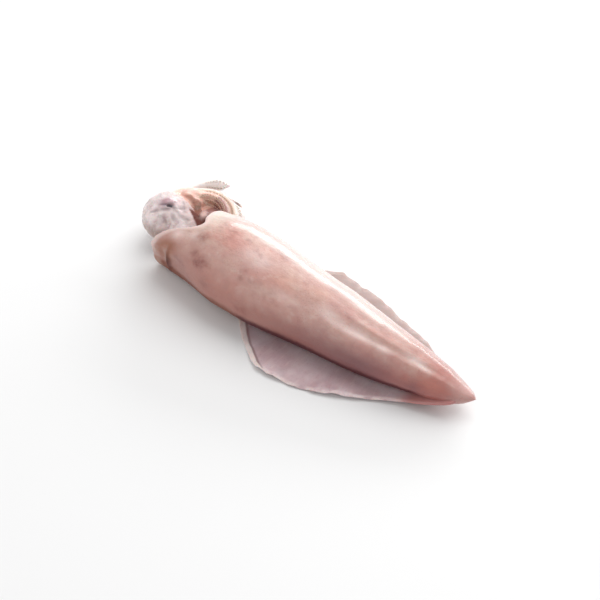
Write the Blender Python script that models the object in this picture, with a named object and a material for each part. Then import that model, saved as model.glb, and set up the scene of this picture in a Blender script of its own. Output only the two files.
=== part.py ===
"""Fresh squid, whole, lying belly up.

One solid: the mantle tube with its two fins, and the head with its funnel, eight arms and two
tentacles, which comes out of the mantle's mouth and curls round beside it.

The frame is in metres, +Z up. The origin is on the surface that the squid lies on, under the
mantle's axis and halfway along its 250 mm measure. +X runs along the mantle to the tail.
A place along the squid is given by its station, which grows from the tail to the mouth. It is 0
where the 250 mm begin, and the sharp tail tip reaches TAIL_POINT beyond that.
"""

import bpy
import bmesh
import numpy as np

# Mantle: the tapered tube
MANTLE_LENGTH = 0.250
MAX_HALF_WIDTH = 0.0369
WIDEST_STATION = 0.195
TAPER_POWER = 0.42
TAIL_POINT = 0.0040
TAIL_POINT_REACH = 0.0070
TAIL_POINT_POWER = 0.50
HEIGHT_SHARE = 0.77
MOUTH_PINCH = 0.07
BOTTOM_CUT = 0.10
TAIL_TIP_HEIGHT = 0.0118
TAIL_LIFT_REACH = 0.075
TIP_UPTURN = 0.0026
TIP_UPTURN_REACH = 0.0060
TAIL_SWING = 0.0045
TAIL_SWING_REACH = 0.060
TUCK_DEPTH = 0.0088
TUCK_ANGLE = np.radians(194)
TUCK_SPREAD = np.radians(42)
TUCK_STATIONS = (0.187, 0.242)
SWELL = 0.0034
SWELL_ANGLE = np.radians(196)
SWELL_SPREAD = np.radians(42)
SWELL_STATION = 0.162
SWELL_REACH = 0.024
SAG_DEPTH = 0.0035
SAG_ANGLE = np.radians(64)
SAG_SPREAD = np.radians(36)
SAG_STATIONS = (0.205, 0.240)
MANTLE_ROWS = 30
MANTLE_SIDES = 32
ROW_CROWDING = 1.5
UNSLANTED_SHARE = 0.9
SLANT_BEGIN = 0.55

# Mouth of the mantle: a slanting rim with a notch over the funnel
RIM_MEAN_STATION = 0.248
RIM_SLANT = 0.013
RIM_SLANT_ANGLE = np.radians(210)
NOTCH_DEPTH = 0.0186
NOTCH_ANGLE = np.radians(99)
NOTCH_SPREAD = np.radians(25)
LOBE_REACH = 0.0093
LOBE_ANGLE = np.radians(269)
LOBE_SPREAD = np.radians(31)
WALL = 0.0045
LIP_TURNS = np.radians((60.0, 120.0))
MOUTH_DEPTH = 0.024
MOUTH_SHARES = (0.0, 0.35, 0.7, 1.0)

# Fins: one thin sheet on each side of the tail half. The near one runs on to the tail tip as a
# narrow ledge beside the mantle
FIN_LEADING_POWER = 0.54
FIN_CORNER_ROUNDING = 12.0
FIN_ROOT_SIDE = 0.004
FIN_ROOT_THICKNESS = 0.0042
FIN_EDGE_THICKNESS = 0.0013
FIN_THINNING_POWER = 0.8
FIN_FLOOR_GAP = 0.0004
FIN_TAIL_RISE = 0.0055
FIN_TAIL_RISE_REACH = 0.040
FIN_ROOT_COVER = 0.0010
FIN_WAVE = 0.0011
FIN_WAVE_LENGTH = 0.052
WAVE_REACHES = (0.016, 0.036)
LEDGE_STATIONS = (0.001, 0.007)
LEDGE_JOIN_POWER = 8.0
LEAST_LANE = 0.0005
FIN_COLUMNS = 30
FIN_LANES = 7
# Each fin: its side, its reach, the stations of its front root, corner and rear root, the two
# powers of its trailing edge, and how far its ledge stands out beyond the mantle. The far one's
# ledge stays inside
NEAR_FIN = {"side": -1, "reach": 0.0539, "front": 0.187, "corner": 0.133, "rear": 0.0045,
            "fullness": 2.41, "flare": 1.8, "ledge": 0.0021}
FAR_FIN = {"side": 1, "reach": 0.0640, "front": 0.200, "corner": 0.147, "rear": 0.0300,
           "fullness": 1.0, "flare": 0.33, "ledge": -0.0040}

# Head, neck and funnel
HEAD_STATION = 0.281
HEAD_SIDE = 0.013
HEAD_HEIGHT = 0.0205
HEAD_HALF = (0.0215, 0.0205, 0.0193)
EYE_DIRECTION = np.array([0.30, -0.30, 0.905])
EYE_OUT = 0.0112
EYE_RADIUS = 0.0097
HEAD_SIDES = 20
HEAD_ROWS = 12
EYE_SIDES = 14
EYE_ROWS = 8
NECK_STATIONS = (0.198, 0.275)
NECK_HEIGHT = 0.0190
NECK_HALF_WIDTH = 0.0140
NECK_HALF_HEIGHT = 0.0150
NECK_RINGS = 6
NECK_SIDES = 16
FUNNEL_STATIONS = (0.216, 0.2508)
FUNNEL_SIDES = (0.012, 0.0211)
FUNNEL_HEIGHTS = (0.025, 0.0340)
FUNNEL_RADII = (0.0080, 0.0038)
FUNNEL_RINGS = 4
FUNNEL_SIDE_COUNT = 12

# Arms: they leave the head at the crown and lie in a ring beside the mantle's mouth
RING_STATION = 0.2675
RING_SIDE = 0.0405
RING_RADIUS = 0.0182
ARM_BEGIN_ANGLE = np.radians(-54)
CROWN_RADIUS = 0.0105
CROWN_HEIGHT = 0.0205
FIRST_ARM_TURN = np.radians(22.5)
SETTLE_SHARE = 0.4
ARM_BASE_RADIUS = 0.0060
ARM_TIP_RADIUS = 0.0010
ARM_THINNING_POWER = 0.7
SINK_BEGIN = 0.35
SINK_SPAN = 0.60
SINK_DEPTH = 0.55
FLOOR_GAP = 0.0003
POLE_SHARE = 0.3
ARM_SIDES = 8
ARM_RINGS = 17
# Each arm: its step out from the ring, its height there, and the angle of the ring where it ends
ARMS = (
    (0.0120, 0.0075, 112),
    (0.0040, 0.0185, 205),
    (-0.0030, 0.0195, 232),
    (-0.0040, 0.0135, 262),
    (-0.0045, 0.0066, 285),
    (0.0030, 0.0060, 222),
    (0.0045, 0.0125, 190),
    (0.0190, 0.0062, 96),
)
# The web: a low mound of skin between the arms, inside the ring
WEB_HEIGHT = 0.0089
WEB_HALF = (0.0130, 0.0130, 0.0085)
TENTACLE_RADIUS = 0.0030
CLUB_RADIUS = 0.0050
CLUB_SHARE = 0.86
CLUB_SPREAD = 0.10
TIP_SHARE = 0.10
TIP_THINNING = 0.6
TENTACLE_POINTS = 20
# Each tentacle: the stations, sides and heights that its middle line goes through
TENTACLES = (
    ((0.287, 0.299, 0.307, 0.306, 0.298, 0.288), (0.030, 0.040, 0.055, 0.070, 0.081, 0.089),
     (0.018, 0.013, 0.010, 0.009, 0.008, 0.007)),
    ((0.285, 0.293, 0.295, 0.288, 0.274, 0.258, 0.244), (0.032, 0.044, 0.057, 0.068, 0.073, 0.067, 0.057),
     (0.012, 0.008, 0.005, 0.004, 0.004, 0.004, 0.0046)),
)

SKIN_COLOUR = (0.62, 0.33, 0.28, 1.0)
SKIN_ROUGHNESS = 0.35
MERGE_DISTANCE = 0.00002
SHARP_ANGLE = np.radians(40)


def place(station, side, height):
    """Points of the frame at these stations, sides and heights, which may be arrays."""
    station, side, height = np.broadcast_arrays(station, side, height)
    return np.stack([MANTLE_LENGTH / 2 - station, side, height], axis=-1)


def smooth_step(x):
    """0 below 0, 1 above 1, and an even curve between."""
    x = np.clip(x, 0.0, 1.0)
    return x * x * (3.0 - 2.0 * x)


def bump(angle, middle, spread):
    """A soft bump of height 1 round the mantle at the angle called middle."""
    away = (angle - middle + np.pi) % (2.0 * np.pi) - np.pi
    return np.exp(-((away / spread) ** 2))


def half_width(station):
    """The mantle's half width: a power of the distance from the tip, sharpened to a point there,
    up to the widest place, and then a pinch to the mouth."""
    from_tip = np.maximum(station + TAIL_POINT, 0.0)
    share = np.minimum(from_tip / (WIDEST_STATION + TAIL_POINT), 1.0)
    pointed = (from_tip / (from_tip + TAIL_POINT_REACH)) ** TAIL_POINT_POWER
    beyond = np.maximum(station - WIDEST_STATION, 0.0) / (MANTLE_LENGTH - WIDEST_STATION)
    return MAX_HALF_WIDTH * share ** TAPER_POWER * pointed * (1.0 - MOUTH_PINCH * beyond ** 2)


def axis_height(station):
    """The height of the mantle's middle: it rests on the floor and keeps level towards the tail,
    where the very tip turns up."""
    resting = (1.0 - BOTTOM_CUT) * HEIGHT_SHARE * half_width(station)
    lift = TAIL_TIP_HEIGHT * np.exp(-((station / TAIL_LIFT_REACH) ** 4))
    upturn = TIP_UPTURN * np.exp(-(((station + TAIL_POINT) / TIP_UPTURN_REACH) ** 2))
    return np.hypot(resting, lift) + upturn


def axis_side(station):
    """The mantle's middle swings a little to one side at the tail."""
    return TAIL_SWING * np.clip(1.0 - station / TAIL_SWING_REACH, 0.0, 1.0) ** 2


def share_between(station, stations):
    """0 at the first of two stations, 1 at the second, smooth between."""
    return smooth_step((station - stations[0]) / (stations[1] - stations[0]))


def mantle_surface(station, angle, inset=0.0):
    """Points of the mantle's skin, or of a surface that far inside it. The underside is flat.
    The near side swells halfway and is tucked in by the mouth, where the far shoulder sags."""
    across = half_width(station) - inset
    up = HEIGHT_SHARE * half_width(station) - inset
    tuck = TUCK_DEPTH * bump(angle, TUCK_ANGLE, TUCK_SPREAD) * share_between(station, TUCK_STATIONS)
    sag = SAG_DEPTH * bump(angle, SAG_ANGLE, SAG_SPREAD) * share_between(station, SAG_STATIONS)
    swell = SWELL * bump(angle, SWELL_ANGLE, SWELL_SPREAD)
    swell = swell * np.exp(-(((station - SWELL_STATION) / SWELL_REACH) ** 2))
    side = axis_side(station) + (across - tuck + swell) * np.cos(angle)
    height = np.maximum(axis_height(station) + up * np.sin(angle) - sag, inset)
    return place(station, side, height)


def rim_station(angle):
    """Where the mantle ends, round its mouth: slanting, notched above and with a lobe below."""
    slant = RIM_SLANT * np.cos(angle - RIM_SLANT_ANGLE)
    notch = NOTCH_DEPTH * bump(angle, NOTCH_ANGLE, NOTCH_SPREAD)
    lobe = LOBE_REACH * bump(angle, LOBE_ANGLE, LOBE_SPREAD)
    return RIM_MEAN_STATION + slant - notch + lobe


def new_object(name, points, faces):
    """A mesh object from points and faces, linked to the scene, with its faces pointing out."""
    mesh = bpy.data.meshes.new(name)
    mesh.from_pydata([tuple(p) for p in points], [], faces)
    shape = bmesh.new()
    shape.from_mesh(mesh)
    bmesh.ops.recalc_face_normals(shape, faces=shape.faces)
    if shape.calc_volume(signed=True) < 0:
        bmesh.ops.reverse_faces(shape, faces=shape.faces)
    shape.to_mesh(mesh)
    shape.free()
    made = bpy.data.objects.new(name, mesh)
    bpy.context.scene.collection.objects.link(made)
    return made


def lofted(name, rings, first_pole, last_pole):
    """A closed skin through rings of points, shaped (rings, sides, 3), with a pole at each end."""
    count, sides = rings.shape[:2]
    points = np.concatenate([[first_pole], rings.reshape(-1, 3), [last_pole]])
    last = len(points) - 1
    faces = []
    for k in range(sides):
        after = (k + 1) % sides
        faces.append((0, 1 + after, 1 + k))
        faces.append((last, 1 + (count - 1) * sides + k, 1 + (count - 1) * sides + after))
        for row in range(count - 1):
            low, high = 1 + row * sides, 1 + (row + 1) * sides
            faces.append((low + k, low + after, high + after, high + k))
    return new_object(name, points, faces)


def make_mantle():
    """The tube: its skin from the tail tip to the rim, over a round lip, and down the mouth."""
    angle = np.linspace(0.0, 2.0 * np.pi, MANTLE_SIDES, endpoint=False)
    rim = rim_station(angle)
    rings = []
    for share in np.linspace(0.0, 1.0, MANTLE_ROWS + 1)[1:] ** ROW_CROWDING:
        slanted = smooth_step((share - SLANT_BEGIN) / (1.0 - SLANT_BEGIN))
        station = share * (MANTLE_LENGTH * UNSLANTED_SHARE * (1.0 - slanted) + rim * slanted)
        rings.append(mantle_surface(station - TAIL_POINT * (1.0 - share) ** 2, angle))
    lip = WALL / 2.0
    for turn in LIP_TURNS:
        rings.append(mantle_surface(rim + lip * np.sin(turn), angle, lip * (1.0 - np.cos(turn))))
    for share in MOUTH_SHARES:
        station = rim - share * MOUTH_DEPTH
        rings.append(mantle_surface(station, angle, WALL * (1.0 + share)))
    deepest = rings[-1].mean(axis=0)
    tail_tip = place(-TAIL_POINT, axis_side(-TAIL_POINT), axis_height(-TAIL_POINT))
    return lofted("squid", np.array(rings), tail_tip, deepest)


def fin_edge(share, fin):
    """The fin's outline from its front root to its rear root, as stations and reaches.
    A leading and a trailing curve meet at the corner, which a high power rounds off. Behind the
    corner the ledge beside the mantle is joined to them."""
    front, corner, rear = fin["front"], fin["corner"], fin["rear"]
    station = front + (rear - front) * share
    ahead = np.clip((front - station) / (front - corner), 0.0, 1.0)
    behind = np.clip((station - rear) / (corner - rear), 0.0, 1.0)
    leading = ahead ** FIN_LEADING_POWER
    trailing = (1.0 - (1.0 - behind) ** fin["fullness"]) ** fin["flare"]
    power = -FIN_CORNER_ROUNDING
    outline = fin["reach"] * (leading ** power + trailing ** power - 1.0) ** (1.0 / power)
    ledge = (half_width(station) + fin["ledge"]) * share_between(station, LEDGE_STATIONS)
    ledge = ledge * (station < corner)
    reach = (outline ** LEDGE_JOIN_POWER + ledge ** LEDGE_JOIN_POWER) ** (1.0 / LEDGE_JOIN_POWER)
    return station, np.maximum(reach, FIN_ROOT_SIDE + LEAST_LANE)


def make_fin(name, fin):
    """One fin: a sheet that thins from its root inside the mantle to a soft, wavy edge. Its root
    never comes out on top of the tail."""
    share = np.linspace(0.0, 1.0, FIN_COLUMNS + 1)[1:-1]
    lane = np.linspace(0.0, 1.0, FIN_LANES + 1)
    station, reach = (x[:, None] for x in fin_edge(share, fin))
    out = axis_side(station) * fin["side"] + FIN_ROOT_SIDE + lane * (reach - FIN_ROOT_SIDE)
    thinning = (1.0 - lane) ** FIN_THINNING_POWER
    thickness = FIN_EDGE_THICKNESS + (FIN_ROOT_THICKNESS - FIN_EDGE_THICKNESS) * thinning
    belly = np.maximum(axis_height(station) - HEIGHT_SHARE * half_width(station), 0.0)
    rise = FIN_TAIL_RISE * np.clip(1.0 - station / FIN_TAIL_RISE_REACH, 0.0, 1.0)
    phase = station * 2.0 * np.pi / FIN_WAVE_LENGTH + fin["side"]
    wave = FIN_WAVE * lane ** 2 * (1.0 + np.sin(phase)) * share_between(reach, WAVE_REACHES)
    covered = axis_height(station) - FIN_ROOT_COVER - 0.5 * thickness
    under = np.minimum(FIN_FLOOR_GAP + belly + rise + wave, covered)
    lower = place(station, fin["side"] * out, under)
    upper = place(station, fin["side"] * out, under + thickness)
    rings = np.concatenate([upper, lower[:, ::-1]], axis=1)
    ends = [rings[0].mean(axis=0), rings[-1].mean(axis=0)]
    return lofted(name, rings, *ends)


def ellipsoid(name, middle, half, sides=HEAD_SIDES, rows=HEAD_ROWS):
    """A closed egg shape with its poles along Z."""
    around = np.linspace(0.0, 2.0 * np.pi, sides, endpoint=False)
    down = np.linspace(0.0, np.pi, rows + 1)[1:-1, None]
    unit = np.stack(np.broadcast_arrays(
        np.sin(down) * np.cos(around), np.sin(down) * np.sin(around), np.cos(down)), axis=-1)
    pole = np.array([0.0, 0.0, half[2]])
    return lofted(name, middle + unit * half, middle + pole, middle - pole)


def curve_through(knots, count):
    """Points along a smooth curve through the knots, by the Catmull-Rom rule."""
    knots = np.asarray(knots, float)
    ends = [2.0 * knots[0] - knots[1], 2.0 * knots[-1] - knots[-2]]
    padded = np.concatenate([ends[:1], knots, ends[1:]])
    place_along = np.linspace(0.0, len(knots) - 1.0 - 1e-9, count)
    k = place_along.astype(int)
    t = (place_along - k)[:, None]
    a, b, c, d = padded[k], padded[k + 1], padded[k + 2], padded[k + 3]
    return 0.5 * (2.0 * b + (c - a) * t + (2.0 * a - 5.0 * b + 4.0 * c - d) * t ** 2
                  + (3.0 * b - a - 3.0 * c + d) * t ** 3)


def tube(name, path, radius, sides=ARM_SIDES):
    """A round limb along a path, with a radius for each point. Its rings stand up from the floor."""
    ahead = np.gradient(path, axis=0)
    ahead /= np.linalg.norm(ahead, axis=1, keepdims=True)
    across = np.cross(ahead, (0.0, 0.0, 1.0))
    across /= np.linalg.norm(across, axis=1, keepdims=True)
    up = np.cross(across, ahead)
    angle = np.linspace(0.0, 2.0 * np.pi, sides, endpoint=False) + np.pi / sides
    ring = across[:, None] * np.cos(angle)[:, None] + up[:, None] * np.sin(angle)[:, None]
    rings = path[:, None] + ring * np.asarray(radius)[:, None, None]
    tip = path[-1] + ahead[-1] * radius[-1]
    return lofted(name, rings, path[0] - ahead[0] * radius[0] * POLE_SHARE, tip)


def arm_radius(share):
    """An arm's radius: it thins by a power of what is left of its length."""
    return ARM_TIP_RADIUS + (ARM_BASE_RADIUS - ARM_TIP_RADIUS) * (1.0 - share) ** ARM_THINNING_POWER


def make_arm(index, step, height, end_angle):
    """One arm: from its place on the crown into the ring, getting thinner and lying down."""
    share = np.linspace(0.0, 1.0, ARM_RINGS)
    ring_angle = ARM_BEGIN_ANGLE + share * (np.radians(end_angle) - ARM_BEGIN_ANGLE)
    crown_turn = FIRST_ARM_TURN + index * 2.0 * np.pi / len(ARMS)
    settled = smooth_step(share / SETTLE_SHARE)
    out = RING_RADIUS + (1.0 - settled) * CROWN_RADIUS * np.cos(crown_turn) + settled * step
    radius = arm_radius(share)
    start_height = CROWN_HEIGHT + CROWN_RADIUS * np.sin(crown_turn)
    sinking = SINK_DEPTH * smooth_step((share - SINK_BEGIN) / SINK_SPAN)
    level = (1.0 - settled) * start_height + settled * height * (1.0 - sinking)
    path = place(
        RING_STATION + out * np.cos(ring_angle),
        RING_SIDE + out * np.sin(ring_angle),
        np.maximum(level, radius + FLOOR_GAP),
    )
    return tube(f"arm_{index + 1}", path, radius)


def make_tentacle(index, stations, sides, heights):
    """One tentacle: a thin stalk that ends in a thicker club and a narrow tip."""
    knots = place(np.array(stations), np.array(sides), np.array(heights))
    path = curve_through(knots, TENTACLE_POINTS)
    share = np.linspace(0.0, 1.0, TENTACLE_POINTS)
    club = np.exp(-(((share - CLUB_SHARE) / CLUB_SPREAD) ** 2))
    tip = smooth_step((share - 1.0 + TIP_SHARE) / TIP_SHARE)
    radius = TENTACLE_RADIUS * (1.0 - TIP_THINNING * tip) + (CLUB_RADIUS - TENTACLE_RADIUS) * club
    path[:, 2] = np.maximum(path[:, 2], radius + FLOOR_GAP)
    return tube(f"tentacle_{index + 1}", path, radius)


def make_neck():
    """The neck: an oval tube from inside the mantle to the head."""
    share = np.linspace(0.0, 1.0, NECK_RINGS)
    station = NECK_STATIONS[0] + (NECK_STATIONS[1] - NECK_STATIONS[0]) * share
    middle = place(station, HEAD_SIDE * smooth_step(share), NECK_HEIGHT)[:, None]
    angle = np.linspace(0.0, 2.0 * np.pi, NECK_SIDES, endpoint=False)
    oval = np.stack([0.0 * angle, NECK_HALF_WIDTH * np.cos(angle), NECK_HALF_HEIGHT * np.sin(angle)], 1)
    return lofted("neck", middle + oval, middle[0, 0], middle[-1, 0])


def make_funnel():
    """The funnel: a short cone that looks out of the notch in the mantle's rim."""
    stations = np.linspace(*FUNNEL_STATIONS, FUNNEL_RINGS)
    path = place(stations, np.linspace(*FUNNEL_SIDES, FUNNEL_RINGS),
                 np.linspace(*FUNNEL_HEIGHTS, FUNNEL_RINGS))
    return tube("funnel", path, np.linspace(*FUNNEL_RADII, FUNNEL_RINGS), FUNNEL_SIDE_COUNT)


def make_head():
    """The head and its two eyes: one looks up and to the near side, the other is opposite."""
    middle = place(HEAD_STATION, HEAD_SIDE, HEAD_HEIGHT)
    pieces = [ellipsoid("head", middle, np.array(HEAD_HALF))]
    for name, side in (("upper_eye", 1.0), ("lower_eye", -1.0)):
        eye_middle = middle + side * EYE_OUT * EYE_DIRECTION
        eye_middle[2] = max(eye_middle[2], EYE_RADIUS + FLOOR_GAP)
        pieces.append(ellipsoid(name, eye_middle, np.full(3, EYE_RADIUS), EYE_SIDES, EYE_ROWS))
    return pieces


def make_web():
    """The web between the arms: a low egg shape in the middle of their ring."""
    return ellipsoid("web", place(RING_STATION, RING_SIDE, WEB_HEIGHT), np.array(WEB_HALF))


def fuse(body, pieces):
    """Joins the pieces to the body with one Boolean, then fills any hollow that it sealed."""
    group = bpy.data.collections.new("fused")
    bpy.context.scene.collection.children.link(group)
    for piece in pieces:
        group.objects.link(piece)
    union = body.modifiers.new("fuse", "BOOLEAN")
    union.operation = "UNION"
    union.operand_type = "COLLECTION"
    union.collection = group
    union.solver = "EXACT"
    union.use_self = True
    bpy.context.view_layer.update()
    joined = bpy.data.meshes.new_from_object(body.evaluated_get(bpy.context.evaluated_depsgraph_get()))
    body.modifiers.clear()
    body.data = joined
    for piece in pieces:
        bpy.data.objects.remove(piece)
    bpy.data.collections.remove(group)
    keep_outer_skin(joined)


def keep_outer_skin(mesh):
    """Deletes every closed shell of the mesh but the largest, so that nothing hidden is left."""
    shape = bmesh.new()
    shape.from_mesh(mesh)
    bmesh.ops.remove_doubles(shape, verts=shape.verts, dist=MERGE_DISTANCE)
    unseen = set(shape.faces)
    shells = []
    while unseen:
        front = [unseen.pop()]
        shell = list(front)
        while front:
            for edge in front.pop().edges:
                for face in edge.link_faces:
                    if face in unseen:
                        unseen.remove(face)
                        front.append(face)
                        shell.append(face)
        shells.append(shell)
    shells.sort(key=len)
    for shell in shells[:-1]:
        bmesh.ops.delete(shape, geom=shell, context="FACES")
    bmesh.ops.triangulate(shape, faces=shape.faces)
    bmesh.ops.recalc_face_normals(shape, faces=shape.faces)
    shape.to_mesh(mesh)
    shape.free()


def wet_skin():
    """The material of the whole solid."""
    material = bpy.data.materials.new("wet_skin")
    material.use_nodes = True
    shader = material.node_tree.nodes["Principled BSDF"]
    shader.inputs["Base Color"].default_value = SKIN_COLOUR
    shader.inputs["Roughness"].default_value = SKIN_ROUGHNESS
    shader.inputs["Metallic"].default_value = 0.0
    return material


def main():
    for old in list(bpy.data.objects):
        bpy.data.objects.remove(old)
    squid = make_mantle()
    pieces = [make_fin("near_fin", NEAR_FIN), make_fin("far_fin", FAR_FIN)]
    pieces += make_head() + [make_neck(), make_funnel(), make_web()]
    pieces += [make_arm(k, *arm) for k, arm in enumerate(ARMS)]
    pieces += [make_tentacle(k, *tentacle) for k, tentacle in enumerate(TENTACLES)]
    fuse(squid, pieces)
    squid.data.materials.clear()
    squid.data.materials.append(wet_skin())
    squid.data.shade_smooth()
    squid.data.set_sharp_from_angle(angle=SHARP_ANGLE)


main()
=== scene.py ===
# %% [markdown]
# # A fresh squid, belly up
# This script dresses a plain solid of a squid: a tapered mantle, two fins, a head with its
# funnel, and arms that curl round beside the mantle's mouth. The solid gives the places. Every
# surface here is worked out again with numpy, finely enough for folds, puckers and suckers.
# The frame is in metres: +X to the tail tip, +Y to the side that the arms curl to, +Z up.

import bpy
import numpy as np
from mathutils import Matrix


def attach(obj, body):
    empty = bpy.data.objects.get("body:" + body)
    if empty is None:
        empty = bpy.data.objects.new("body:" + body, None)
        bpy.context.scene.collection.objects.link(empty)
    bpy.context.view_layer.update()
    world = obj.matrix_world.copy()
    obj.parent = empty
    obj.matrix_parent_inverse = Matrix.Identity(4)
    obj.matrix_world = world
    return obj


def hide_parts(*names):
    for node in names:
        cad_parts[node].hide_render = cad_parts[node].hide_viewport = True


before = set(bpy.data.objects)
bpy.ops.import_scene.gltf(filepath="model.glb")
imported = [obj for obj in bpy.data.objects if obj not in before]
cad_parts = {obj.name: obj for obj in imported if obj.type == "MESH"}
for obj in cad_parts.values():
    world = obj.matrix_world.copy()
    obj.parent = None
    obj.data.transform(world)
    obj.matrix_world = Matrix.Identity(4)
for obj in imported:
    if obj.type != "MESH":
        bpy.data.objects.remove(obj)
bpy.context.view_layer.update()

# %% [markdown]
# ## The animal's measures
# A place on the mantle is given by its station, which grows from the tail to the mouth, and its
# angle round the middle: 0 is +Y, 90 degrees is the belly, which looks up. The mantle's 250 mm
# begin at station 0, and the sharp tip of the tail reaches a little beyond. These values shape
# the mantle's solid, and the fine surfaces below follow the same formulas.

# %% Driving sizes
MM = 0.001
MANTLE_LENGTH = 0.250
MAX_HALF_WIDTH = 0.0369
WIDEST_STATION = 0.195
TAPER_POWER = 0.42
TAIL_POINT = 0.0040
TAIL_POINT_REACH = 0.0070
HEIGHT_SHARE = 0.77
MOUTH_PINCH = 0.07
BOTTOM_CUT = 0.10
TAIL_TIP_HEIGHT = 0.0118
TAIL_LIFT_REACH = 0.075
TIP_UPTURN = 0.0026
TAIL_SWING = 0.0045
TAIL_SWING_REACH = 0.060
WALL = 0.0045
MOUTH_DEPTH = 0.030
RIM_MEAN_STATION = 0.248
RING_STATION = 0.2675
RING_SIDE = 0.0405
RING_RADIUS = 0.0182
RING_MIDDLE = np.array([MANTLE_LENGTH / 2 - RING_STATION, RING_SIDE, 0.0])
HEAD_SIDE = 0.013
HEAD_MIDDLE = np.array([MANTLE_LENGTH / 2 - 0.281, HEAD_SIDE, 0.0205])
HEAD_HALF = np.array([0.0215, 0.0205, 0.0193])


# %% Small helpers for curves
def smooth_step(x):
    """0 below 0, 1 above 1, and the cubic 3x^2 - 2x^3 between."""
    x = np.clip(x, 0.0, 1.0)
    return x * x * (3.0 - 2.0 * x)


def ramp(x, start, span):
    """0 up to start, 1 from start + span on, smooth between. A negative span runs backwards."""
    return smooth_step((x - start) / span)


def bump(x, middle, spread):
    """A bell exp(-((x - middle) / spread)^2)."""
    return np.exp(-(((x - middle) / spread) ** 2))


def ring_bump(angle, middle, spread):
    """The same bell round a circle, with its middle and spread in degrees: the angle's difference
    is taken the short way."""
    away = (angle - np.radians(middle) + np.pi) % (2.0 * np.pi) - np.pi
    return bump(away, 0.0, np.radians(spread))


def full_turn(sides):
    """That many angles, evenly round a circle."""
    return np.linspace(0.0, 2.0 * np.pi, sides, endpoint=False)


def unit(vectors):
    """The vectors at length 1."""
    return vectors / (np.linalg.norm(vectors, axis=-1, keepdims=True) + 1e-12)


def place(station, side, height):
    """Points of the frame at these stations, sides and heights, which may be arrays."""
    station, side, height = np.broadcast_arrays(station, side, height)
    return np.stack([MANTLE_LENGTH / 2 - station, side, height], axis=-1)


# %% [markdown]
# ## Uneven skin
# Nothing on an animal is even. A lattice of random numbers, blended smoothly between its
# corners, gives soft lumps of any size. The lattice repeats, and its seed is fixed, so each run
# gives the same squid.

# %% Smooth noise
LATTICE = 32
NOISE_CORNERS = np.random.default_rng(7).uniform(-1.0, 1.0, (LATTICE, LATTICE, LATTICE))


def lumps(points, size, seed=0, stretch=(1, 1, 1)):
    """Soft noise from -1 to 1 with lumps of that size in metres.
    Each point's cell is its place / size, and the eight corners are blended by smooth steps."""
    spot = points * stretch / size + np.array([3.7, 8.1, 5.3]) * (seed + 1)
    cell = np.floor(spot).astype(int)
    part = smooth_step(spot - cell)
    total = np.zeros(points.shape[:-1])
    for corner in np.ndindex(2, 2, 2):
        share = np.prod(np.where(corner, part, 1.0 - part), axis=-1)
        x, y, z = np.moveaxis((cell + corner) % LATTICE, -1, 0)
        total += share * NOISE_CORNERS[x, y, z]
    return total


# %% [markdown]
# ## From a grid to a skin
# Every part of this animal is a tube of some kind, so one helper closes rings of points into a
# mesh with a pole at each end. A second one finds a grid's own normals, because relief is carved
# by moving the points in or out along them.

# %% Grids and meshes
def add_object(name, data):
    """A new object of the scene with that data."""
    made = bpy.data.objects.new(name, data)
    bpy.context.scene.collection.objects.link(made)
    return made


def store(mesh, values):
    """Keeps arrays of numbers in the mesh, as point attributes by name."""
    for key, numbers in values.items():
        flat = np.asarray(numbers, np.float32).ravel()
        mesh.attributes.new(key, "FLOAT", "POINT").data.foreach_set("value", flat)


def new_piece(name, points, faces, **values):
    """A smooth mesh object with its place in its mesh. The values are point attributes."""
    mesh = bpy.data.meshes.new(name)
    mesh.from_pydata(points.tolist(), [], faces)
    store(mesh, values)
    mesh.shade_smooth()
    return add_object(name, mesh)


def closed_tube(rings, first_pole, last_pole):
    """Points and faces of a closed skin through rings shaped (rings, sides, 3). Faces that
    enclose a negative volume look inwards, so they are turned round."""
    count, sides = rings.shape[:2]
    points = np.concatenate([[first_pole], rings.reshape(-1, 3), [last_pole]])
    number = 1 + np.arange(count * sides).reshape(count, sides)
    after = np.roll(number, -1, axis=1)
    quads = np.stack([number[:-1], after[:-1], after[1:], number[1:]], axis=-1).reshape(-1, 4)
    first = np.stack([np.zeros(sides, int), after[0], number[0]], axis=-1)
    last = np.stack([np.full(sides, len(points) - 1), number[-1], after[-1]], axis=-1)
    triangles = np.concatenate([quads[:, :3], quads[:, [0, 2, 3]], first, last])
    a, b, c = np.moveaxis(points[triangles], 1, 0)
    order = 1 if np.sum(a * np.cross(b, c)) > 0 else -1
    faces = [part[:, ::order].tolist() for part in (quads, first, last)]
    return points, faces[0] + faces[1] + faces[2]


def with_poles(grid, first, last):
    """A grid's values in the order of its tube's points, between the values of the two poles."""
    return np.concatenate([[first], np.ravel(grid), [last]])


def grid_normals(rings):
    """Unit normals of a grid that closes round its second axis: the cross product of its steps."""
    along = np.gradient(rings, axis=0)
    around = np.roll(rings, -1, axis=1) - np.roll(rings, 1, axis=1)
    return unit(np.cross(around, along))


# %% [markdown]
# ## The mantle
# The mantle is a tapered bag of muscle, open at the head end. It is lofted from its tail tip to
# the rim, over a rounded lip and back down inside. It lies on its back, so its underside is
# pressed flat; a soft maximum keeps that edge round, where a plain cut would leave a crease.

# %% The mantle's surface
def half_width(station):
    """A power of the distance from the tip, sharpened to a point there, then a slight pinch."""
    from_tip = np.maximum(station + TAIL_POINT, 0.0)
    share = np.minimum(from_tip / (WIDEST_STATION + TAIL_POINT), 1.0)
    pointed = np.sqrt(from_tip / (from_tip + TAIL_POINT_REACH))
    beyond = np.maximum(station - WIDEST_STATION, 0.0) / (MANTLE_LENGTH - WIDEST_STATION)
    return MAX_HALF_WIDTH * share ** TAPER_POWER * pointed * (1.0 - MOUTH_PINCH * beyond ** 2)


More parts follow.
